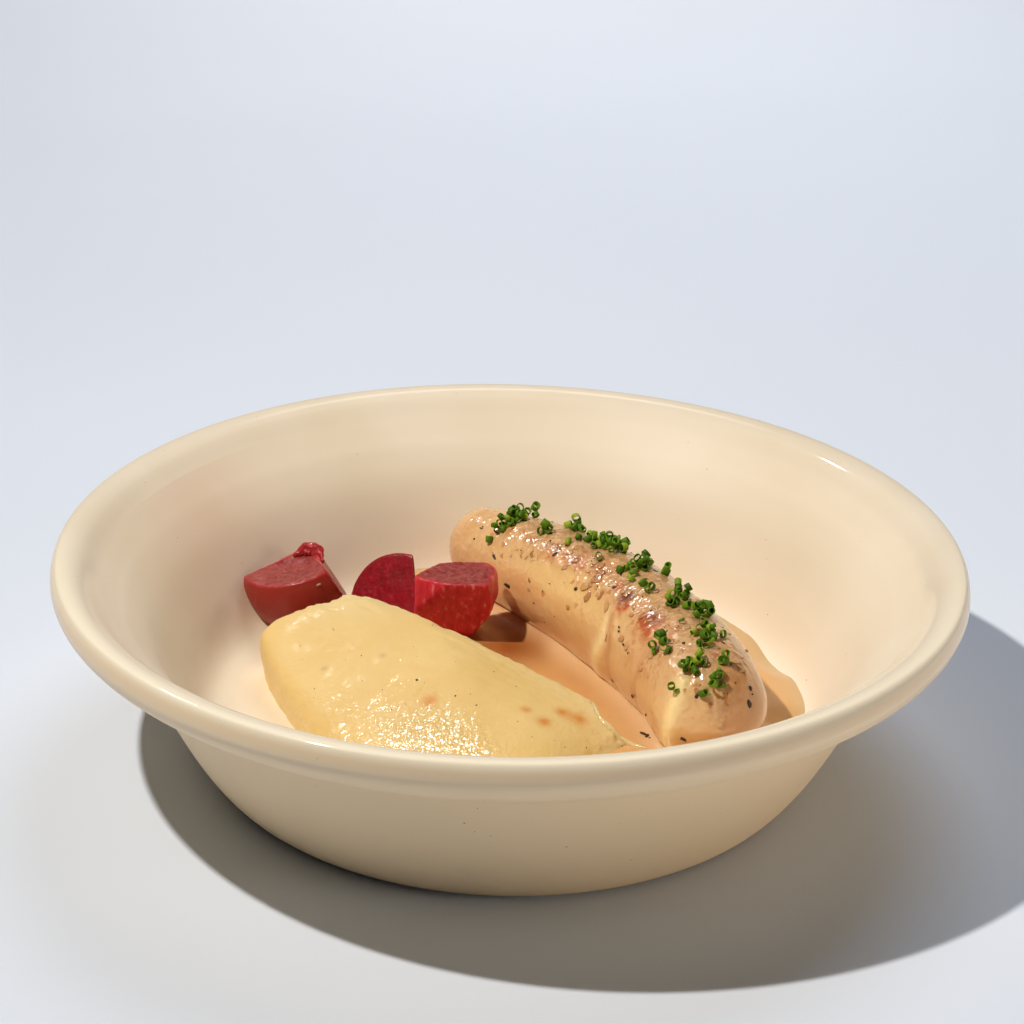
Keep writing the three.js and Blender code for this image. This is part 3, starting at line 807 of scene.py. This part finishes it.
def chiveMaterial():
    # fresh chive: deep green waxy skin, paler juicy cut and inside
    material, tree, shader = newMaterial("fresh cut chive", {
        "Roughness": 0.45, "IOR": 1.4, "Specular IOR Level": 0.3, "Subsurface Weight": 0.15,
        "Subsurface Radius": (0.6, 1.0, 0.1), "Subsurface Scale": 0.001})
    skin = ramp(tree, stored(tree, "shade"), (0.0, "#3d5c09"), (0.7, "#588012"), (1.0, "#90a62c"))
    tree.links.new(blend(tree, "hollow", skin, "#69901e"), shader.inputs["Base Color"])
    return material


# mash: a mound of soft flat sides that a spoon left

mash = {
    "centre": (-19.6, -2.7, 9.4),
    "faces": [  # azimuth, elevation, distance
        (58, 14, 16.2), (109, 14, 38), (-158, -10, 37), (-133, 8, 38.7), (-113, 48, 29.2),
        (-46, 32, 47.7), (-4, 36, 51.6), (46, 19, 38.7), (-20, 78, 21.5), (-119, 68, 19.9)],
    "ridge": [(-50, 22), (-20, 20), (2, 6), (24, -10), (34, -24)],
    "lip": [(14, 2), (20.5, -9), (22.6, -15), (24.5, -21.8), (27.9, -24.4), (31.2, -25.2), (41, -29)],
    "pastLip": 13.5,  # the height to which it falls beyond its lip
    "buttery": (-20, -38, 17),  # the wettest spot, low on the front
    "streaks": (9, 1.3, 2.0),  # how long, wide and deep the spoon's marks are
    "crinkles": (3.4, 1.1, 1.5),
    "softness": 11,
    "swell": 1.02,
    "dome": {"centre": (-19, -14), "length": 52, "width": 34, "height": 22, "turn": -27},
    "rings": 170,
    "spokes": 430,
    "skirt": 2,
}
mashMarks = {  # spots as x, y, z, size
    "caramel": [(-20.4, -21.7, 23.9, 2.0), (4.9, -25.8, 24.5, 1.4), (9.6, -29.8, 23.2, 2.0),
                (14.5, -24, 23, 2.0), (18.5, -25, 22, 2.6)],
    "shade": [(-49.3, -4.9, 24.2, 0.9), (-33.8, -3.4, 27.8, 0.9)],
    "pepper": [(-24.1, -14.2, 25.8, 0.9), (-13.8, -21.1, 25.3, 0.6), (-48.1, 8.3, 29.1, 0.6),
               (-56.8, 4.3, 26, 0.6)],
    "fine": 70,  # how many smaller specks
    "speckHeight": 0.08,
    "seed": 13,
}
curl = {
    "line": [(22.3, -13, 20.4), (22.7, -15.6, 20.9), (23.6, -19, 20.9), (24.6, -21.8, 20.1),
             (26.1, -23.4, 19.2), (27.9, -24.5, 17.9), (29.5, -25.1, 16.8), (31.2, -25.7, 15.9),
             (33.5, -26.8, 15.3), (36.5, -28.2, 15), (40, -29.2, 14.6)],
    "radius": 1.1,
    "sides": 28,
}


def spoonAxes(points):  # coordinates along and across the mound, and up
    turn = np.radians(mash["dome"]["turn"])
    along = points[..., 0] * np.cos(turn) + points[..., 1] * np.sin(turn)
    across = points[..., 1] * np.cos(turn) - points[..., 0] * np.sin(turn)
    return np.stack([along, across, points[..., 2]], -1)


def mashForm():
    # rays from the centre through a dome; each stops at the soft minimum of the distances to the flat
    # sides: the points where they stop, and their directions
    dome = mash["dome"]
    centre = np.array(mash["centre"])
    polar = np.linspace(0, np.pi / 2, mash["rings"])[:, None]
    turn = fullTurn(mash["spokes"])[None]
    long = dome["length"] * np.sin(polar) * np.cos(turn)
    wide = dome["width"] * np.sin(polar) * np.sin(turn)
    lean = np.radians(dome["turn"])
    target = np.stack([dome["centre"][0] + long * np.cos(lean) - wide * np.sin(lean),
                       dome["centre"][1] + long * np.sin(lean) + wide * np.cos(lean),
                       centre[2] + dome["height"] * np.cos(polar) + 0 * turn], -1)
    way = unit(target - centre)
    sides = np.array(mash["faces"], float)
    facing = np.maximum(way @ wayOf(sides[:, 0], sides[:, 1]).T, 0)
    softness = mash["softness"]
    reach = mash["swell"] * ((facing / sides[:, 2]) ** softness).sum(-1) ** (-1 / softness)
    return centre + reach[..., None] * way, way


def makeMash():
    # the mound's flat sides, with spoon streaks along them and small crinkles by the ridge; past its
    # lip it falls away, and it ends in a skirt below the bowl's floor
    base, way = mashForm()
    axes = spoonAxes(base)
    streaks = cloudNoise(axes / mash["streaks"], 2.0, 31, 2)
    ridge = bump(reachOfLines(base, np.array(mash["ridge"], float)), 0, 10)
    crinkles = cloudNoise(axes / mash["crinkles"], 1.5, 47, 3)
    wetness = (0.08 + 1.3 * nearPoint(base, mash["buttery"], 13)
               + 0.35 * smoothStep(27, 18, base[..., 2]) * smoothStep(-4, -18, base[..., 1]))
    wetness = np.clip(wetness, 0, 1)
    height = ((0.07 + 0.25 * ridge) * streaks + ridge * 0.85 * crinkles + 0.5 * cloudNoise(base, 16, 5, 2)
              + 0.16 * cloudNoise(base, 4.6, 9, 2) + (0.02 + 0.07 * wetness) * cloudNoise(base, 1.6, 19, 2))
    grid = base + height[..., None] * way
    lip = np.array(mash["lip"], float)
    past = reachOfLines(grid, lip)
    grid[..., 2] -= smoothStep(-0.4, 2.2, past) * np.maximum(0, grid[..., 2] - mash["pastLip"])
    skirt = grid[-1:] - (0, 0, mash["skirt"])
    foot = np.broadcast_to(np.array(mash["centre"]) - (0, 0, mash["skirt"]), skirt.shape)
    points, faces = closedSkin(np.concatenate([grid, skirt, foot]))
    below = ((0, 2), (0, 0))  # the skirt and the foot carry zeros
    marks = {kind: sum(nearPoint(points, mark[:3], mark[3]) for mark in mashMarks[kind])
             for kind in ("caramel", "shade")}
    values = {"wet": withPoles(np.pad(wetness, below)), "ridge": withPoles(np.pad(ridge, below)),
              "gravied": smoothStep(0.8, 2, reachOfLines(points, lip)), **marks}
    material = mashMaterial()
    buildPiece("mashMound", points, faces, material, "mash", "mash", values)
    makeCurl(material)
    makePepper(base, height, way)


def makeCurl(material):
    # an uneven bead carried along a spline, with its underside drawn down into the pool
    middle = splineThrough(curl["line"], 100)
    share = np.linspace(0, 1, len(middle))[:, None]
    run = np.gradient(middle, axis=0)
    outward = unit(np.cross(run, (0, 0, 1)))
    turn = fullTurn(curl["sides"])[None]
    ends = np.sqrt(np.clip(np.sin(np.pi * share), 0, 1))
    thick = curl["radius"] * ends * (1 + 0.2 * np.sin(14 * share + 1))
    rise = np.sin(turn) - 2.5 * np.clip(-0.2 - np.sin(turn), 0, 1)
    grid = middle[:, None] + (thick * np.cos(turn))[..., None] * outward[:, None]
    grid[..., 2] += thick * rise
    grid = grid + 0.18 * cloudNoise(grid, 2.5, 77, 2)[..., None] * outward[:, None]
    buildPiece("mashCurl", *closedSkin(grid), material, "mash",
               values={"wet": 0.8, "ridge": 0.6, "caramel": 0, "shade": 0, "gravied": 0})


def makePepper(base, height, way):
    # milled pepper: specks at the grid points nearest to known places, and finer ones anywhere
    draw = np.random.default_rng(mashMarks["seed"])
    known = np.array(mashMarks["pepper"])
    gaps = np.linalg.norm(base[:, :, None] - known[:, :3], axis=-1).reshape(-1, len(known))
    nearest = np.unravel_index(gaps.argmin(0), height.shape)
    count = mashMarks["fine"]
    rows = np.concatenate([nearest[0], draw.integers(20, mash["rings"] - 10, count)])
    columns = np.concatenate([nearest[1], draw.integers(0, mash["spokes"], count)])
    seats = base[rows, columns] + height[rows, columns][:, None] * way[rows, columns]
    size = np.concatenate([known[:, 3], 0.2 + 0.45 * draw.random(count) ** 3])
    thick = np.full(len(size), mashMarks["speckHeight"])
    stretch = draw.uniform(0.8, 1.4, len(size))
    points, faces = chipForms(seats, way[rows, columns], size, thick, stretch, 15, 7)
    buildPiece("pepperSpecks", points, faces, herbMaterial(), "chive")


def mashMaterial():
    # buttery potato puree: soft, dense, with a grain of 1.5 mm and melted butter low on the front
    material, tree, shader = newMaterial("buttered potato puree", {
        "IOR": 1.42, "Coat Roughness": 0.12, "Coat IOR": 1.7, "Subsurface Weight": 0.3,
        "Subsurface Radius": (1.0, 0.75, 0.35), "Subsurface Scale": 0.004})
    tone = ramp(tree, noiseOn(tree, 22.2, 3.0), (0.3, "#ddbb73"), (0.7, "#e3c685"))
    tone = blend(tree, "ridge", tone, "#e0c88f")
    frayed = mapped(tree, noiseOn(tree, 3.03, 3.0, Distortion=1.0), 0.75, 1.0, 0.4, 0.62)
    tone = blend(tree, times(tree, stored(tree, "caramel"), frayed), tone, "#d08a3c")
    for label, colour in (("shade", "#c9ac78"), ("gravied", "#d29e64")):
        tone = blend(tree, label, tone, colour)
    tree.links.new(tone, shader.inputs["Base Color"])
    wet = stored(tree, "wet")
    tree.links.new(mapped(tree, wet, 0.55, 0.24), shader.inputs["Roughness"])
    tree.links.new(wet, shader.inputs["Coat Weight"])
    grain = noiseOn(tree, 1.5625, 2.5, Roughness=0.5)
    roughen(tree, shader, grain, mapped(tree, wet, 0.1, 0.9), 0.7)
    return material


# beet wedges: balls trimmed by flat cuts, each with its own torn or rough cut

beets = {
    "beet_left": {
        "middle": (-61, 46, 22),
        "ball": (-60.5, 49.5, 26.6, 17.2),
        "cuts": [(-160, 75, 10.3), (17, 30.5, 11.1), (123, 0, 6.3)],
        "rosy": [0],
        "skinShare": 1.0,
        "fresh": 0.5,
        "hollow": 2.0,  # how far the top cut dips
        "piece": "beetWedgeLeft",
    },
    "beet_middle": {
        "middle": (-34, 50, 19.5),
        "ball": (-32, 47.5, 19.4, 14.2),
        "cuts": [(-115, 32, 4.7), (5, 5, 7)],
        "rosy": [],
        "skinShare": 0.5,
        "fresh": 0.0,
        "hollow": 0,
        "piece": "beetWedgeMiddle",
    },
    "beet_right": {
        "middle": (-15, 36, 27),
        "ball": (-16, 32.5, 26, 16),
        "cuts": [(0, 90, 9), (-91, -23, 6.3), (-10, 0, 10.8), (-5, -34, 10), (194, 0, 13), (-115, 0, 10.5),
                 (144, 0, 7), (95, 0, 5.2)],
        "rosy": [0],
        "skinShare": 0.0,
        "fresh": 1.0,
        "hollow": 0.3,
        "sharpness": 26,
        "piece": "beetWedgeRight",
    },
}
beetGrid = (150, 300)  # rings and points on each


def makeBeet(node, form, material):
    # rays from the middle; each stops at the soft minimum of the distances to the ball and the cuts
    middle, ball = np.array(form["middle"], float), np.array(form["ball"][:3], float)
    way = ballWays(*beetGrid)
    offset = middle - ball
    lean = way @ offset
    toBall = -lean + np.sqrt(lean ** 2 - offset @ offset + form["ball"][3] ** 2)
    cuts = np.array(form["cuts"], float)
    facing = np.maximum(way @ wayOf(cuts[:, 0], cuts[:, 1]).T, 1e-6)
    limits = np.concatenate([toBall[..., None], cuts[:, 2] / facing], -1)
    sharpness = form.get("sharpness", 46)
    shares = limits.min(-1, keepdims=True) / limits
    weights = shares ** sharpness
    reach = limits.min(-1) * weights.sum(-1) ** (-1 / sharpness)
    weights /= weights.sum(-1, keepdims=True)
    base = middle + reach[..., None] * way
    rosy = sum((weights[..., 1 + k] for k in form["rosy"]), np.zeros(reach.shape))
    skin = weights[..., 0] * form["skinShare"]
    dip = form["hollow"] * nearPoint(base, base[-1, :1], 9)
    height = (-rosy * (dip + 0.5 * np.abs(cloudNoise(base, 3.0, 61, 3))) + 0.12 * cloudNoise(base, 5, 66, 2)
              + (1 - skin) * 0.06 * cloudNoise(base, 1.2, 68, 2))
    points, faces = closedSkin(base + height[..., None] * way)
    values = {"rosy": withPoles(rosy), "skin": withPoles(skin), "fresh": form["fresh"]}
    buildPiece(form["piece"], points, faces, material, "beet", node, values)


def beetMaterial():
    # poached beet: dense red flesh with pale threads, a wet skin, rosier where a dry cut shows
    material, tree, shader = newMaterial("poached red beet", {
        "Roughness": 0.4, "IOR": 1.4, "Specular IOR Level": 0.25, "Coat Weight": 0.3, "Coat Roughness": 0.15,
        "Subsurface Weight": 0.12, "Subsurface Radius": (1.0, 0.15, 0.12), "Subsurface Scale": 0.003})
    place = addNode(tree, "TexCoord").outputs["Object"]
    drawn = addNode(tree, "Mapping", {"Vector": place, "Scale": (1.0, 1.0, 0.22)}).outputs[0]
    fibre = noiseOn(tree, 1.923, 4.0, Roughness=0.65, Vector=drawn)
    aged = ramp(tree, fibre, (0.3, "#74060e"), (0.62, "#92081a"), (0.8, "#b02430"))
    bright = ramp(tree, fibre, (0.3, "#c01e32"), (0.58, "#e03646"), (0.72, "#f4a0a0"))
    cut = ramp(tree, fibre, (0.35, "#822a28"), (0.7, "#a44c46"))
    tone = blend(tree, "fresh", aged, bright)
    tone = blend(tree, "skin", tone, "#962a22")
    tree.links.new(blend(tree, "rosy", tone, cut), shader.inputs["Base Color"])
    roughen(tree, shader, fibre, 0.35, 0.5)
    return material


beetScraps = {
    "torn": [(-62.5, 50.5, 31.8), (-60, 51.5, 33.4), (-57.6, 51, 34.2), (-55.4, 49.4, 33.8),
             (-54.2, 46.6, 32.8)],
    "lumps": [(-58.4, 50.2, 33.6, 1.2), (-53.6, 42.6, 34.2, 0.7)],
    "fringe": [(-55.6, 38.6, 37), (-53, 37.6, 35), (-50.6, 37.2, 31.8), (-48.4, 38, 28.1),
               (-46.2, 39.8, 24.4)],
    "flap": [(-55.2, 33.9, 30.2), (-54.2, 33.7, 30.9), (-53.4, 33.6, 31.3)],
    "facing": (0, -0.9, 0.44),  # the way in which strips and films lie open
}


def makeScraps(redBeet):
    # torn lumps at the corner of the left wedge, and a skin of gravy on its edge
    facing = beetScraps["facing"]
    lumps = joined([stripForm(beetScraps["torn"], facing, 3.4, 2.4, 60, 40)]
                   + [lumpForm(lump[:3], lump[3], 3 + k) for k, lump in enumerate(beetScraps["lumps"])])
    tears = [cloudNoise(lumps[0], 1.5, 140 + 10 * k, 2) for k in range(3)]
    buildPiece("beetLumps", lumps[0] + 0.42 * np.stack(tears, -1), lumps[1], redBeet, "beet",
               values={"rosy": 0, "skin": 0.4, "fresh": 0.3})
    films = joined([stripForm(beetScraps["fringe"], facing, 0.32, 0.2),
                    stripForm(beetScraps["flap"], facing, 0.6, 0.2)])
    buildPiece("gravyFilms", *films, filmMaterial(), "gravy")


def filmMaterial():
    # a skin of thin gravy: milky, half clear and very glossy
    return newMaterial("thin gravy skin", {
        "Base Color": toLinear("#e0b09c"), "Roughness": 0.12, "IOR": 1.38, "Transmission Weight": 0.5,
        "Coat Weight": 0.5, "Coat Roughness": 0.05})[0]


# gravy: a pool that fills the right of the bowl, with a thin film left up the wall

gravy = {
    "level": 15.2,
    "edge": [(-50, 90), (-46, 56), (-32, 22), (0, -18), (20, -46), (37, -66), (42, -92)],
    "tip": (44, -66, 0),  # where the pool's front end is rounded off
    "cling": 1.8,  # how far it climbs the sausage
    "clingReach": 2.6,
    "sausageFoot": 12.6,  # the sausage's half width at the pool's level
    "shore": (68, 79),  # the ring in which the pool turns into a film
    "paintedBeetShade": (-1, 28),  # x and y of the painted red-brown shadow by the right wedge
    "paintedBeetShadeReach": 13,
    "reach": 92,  # how far out the sheet goes, mm from the middle
    "rows": 170,
    "columns": 380,
    "underside": 0.6,  # depth of the hidden underside below the bowl's surface
}


def closedSheet(top, under, keep):
    # two layers of points on one ring grid, closed round the border of the part that is kept
    rows, columns = keep.shape
    lower = rows * columns
    index = np.arange(lower).reshape(rows, columns)
    around = np.roll(index, -1, axis=1)
    quads = np.stack([index[:-1], index[1:], around[1:], around[:-1]], -1).reshape(-1, 4)
    quads = quads[keep.ravel()[quads].any(1)]
    edges = np.concatenate([quads[:, [k, (k + 1) % 4]] for k in range(4)])
    _, first, count = np.unique(np.sort(edges, axis=1) @ (lower, 1), return_index=True, return_counts=True)
    border = edges[first[count == 1]]
    walls = np.stack([border[:, 1], border[:, 0], border[:, 0] + lower, border[:, 1] + lower], -1)
    used, faces = np.unique(np.concatenate([quads, quads[:, ::-1] + lower, walls]), return_inverse=True)
    points = np.concatenate([top.reshape(-1, 3), under.reshape(-1, 3)])
    return points[used], [faces.reshape(-1, 4)], used


def makeGravy():
    # height over the bowl on rings round its middle: the pool's level, the film on the wall, and a
    # rise where the gravy clings to the sausage; outside its edge it dips under the bowl's surface
    radius = np.linspace(0.5, gravy["reach"], gravy["rows"])[:, None]
    angle = fullTurn(gravy["columns"])[None]
    x, y = radius * np.cos(angle), radius * np.sin(angle)
    plan = np.stack([x, y, 0 * x], -1)
    ground = floorHeight(radius) + 0 * angle
    inside = reachOfLines(plan, splineThrough(gravy["edge"], 30)) + 2.5 * cloudNoise(plan, 14, 90, 3)
    rounded = -4 * np.log(np.exp(-inside / 4) + np.exp((radius - gravy["shore"][1]) / 4))
    inside = inside + nearPoint(plan, gravy["tip"], 15) * (rounded - inside)
    wetness = smoothStep(0, 5, inside)
    shore = (0.5 - 0.4 * cloudNoise(plan, 14, 99, 2) + 1.5 * bump(np.degrees(angle), 19, 7)
             - 1.6 * bump(x, -32, 20) * (y > 40))
    toSausage = np.maximum(np.abs(reachOfLines(plan, sausageLine[::8])) - gravy["sausageFoot"], 0)
    cling = gravy["cling"] * np.exp(-toSausage / gravy["clingReach"])
    level = (gravy["level"] + cling + 0.12 * cloudNoise(plan, 12, 96, 2)
             - shore * smoothStep(*gravy["shore"], radius))
    pool = ground + (level - ground) * np.sqrt(wetness)
    top = pool - 0.5 * (1 - wetness)
    under = ground - gravy["underside"]
    top = np.maximum(top, under + 0.05)
    depth = smoothStep(0.3, 5.5, top - ground)
    layers = [np.stack([x, y, z + 0 * x], -1) for z in (top, under)]
    points, faces, used = closedSheet(*layers, top > ground - 0.3)
    near, depth = (np.tile(share.ravel(), 2)[used] for share in (bump(toSausage, 0, 6), depth))
    # painted shadow: the pool darkened to red-brown where the right wedge's shadow falls
    paintedBeetShade = nearPoint(points[:, :2], gravy["paintedBeetShade"], gravy["paintedBeetShadeReach"]) * smoothStep(16, 8, points[:, 0])
    buildPiece("gravyPool", points, faces, gravyMaterial(), "gravy", "gravy",
               {"near": near, "deep": depth, "paintedBeetShade": paintedBeetShade})


def gravyMaterial():
    # thin cream gravy: smooth and wet, paler where it ran off the sausage, with a painted red-brown shadow by
    # the wedge
    material, tree, shader = newMaterial("cream gravy", {
        "Roughness": 0.25, "IOR": 1.38, "Coat Weight": 0.4, "Coat Roughness": 0.08, "Subsurface Weight": 0.25,
        "Subsurface Radius": (1.0, 0.55, 0.25), "Subsurface Scale": 0.004})
    pool = ramp(tree, noiseOn(tree, 16.7), (0.3, "#d39c5e"), (0.7, "#daa86b"))
    tone = blend(tree, "deep", "#c9a674", pool)
    # the red-brown tone is painted shadow
    for label, colour in (("near", "#dfb685"), ("paintedBeetShade", "#96521e")):
        tone = blend(tree, label, tone, colour)
    tree.links.new(tone, shader.inputs["Base Color"])
    roughen(tree, shader, noiseOn(tree, 5), 0.1, 0.5, coat=False)
    return material


makeStudio()
makeBowl()
makeSausage()
makeBits()
makeChives()
makeMash()
redBeet = beetMaterial()
for node, form in beets.items():
    makeBeet(node, form, redBeet)
makeScraps(redBeet)
makeGravy()
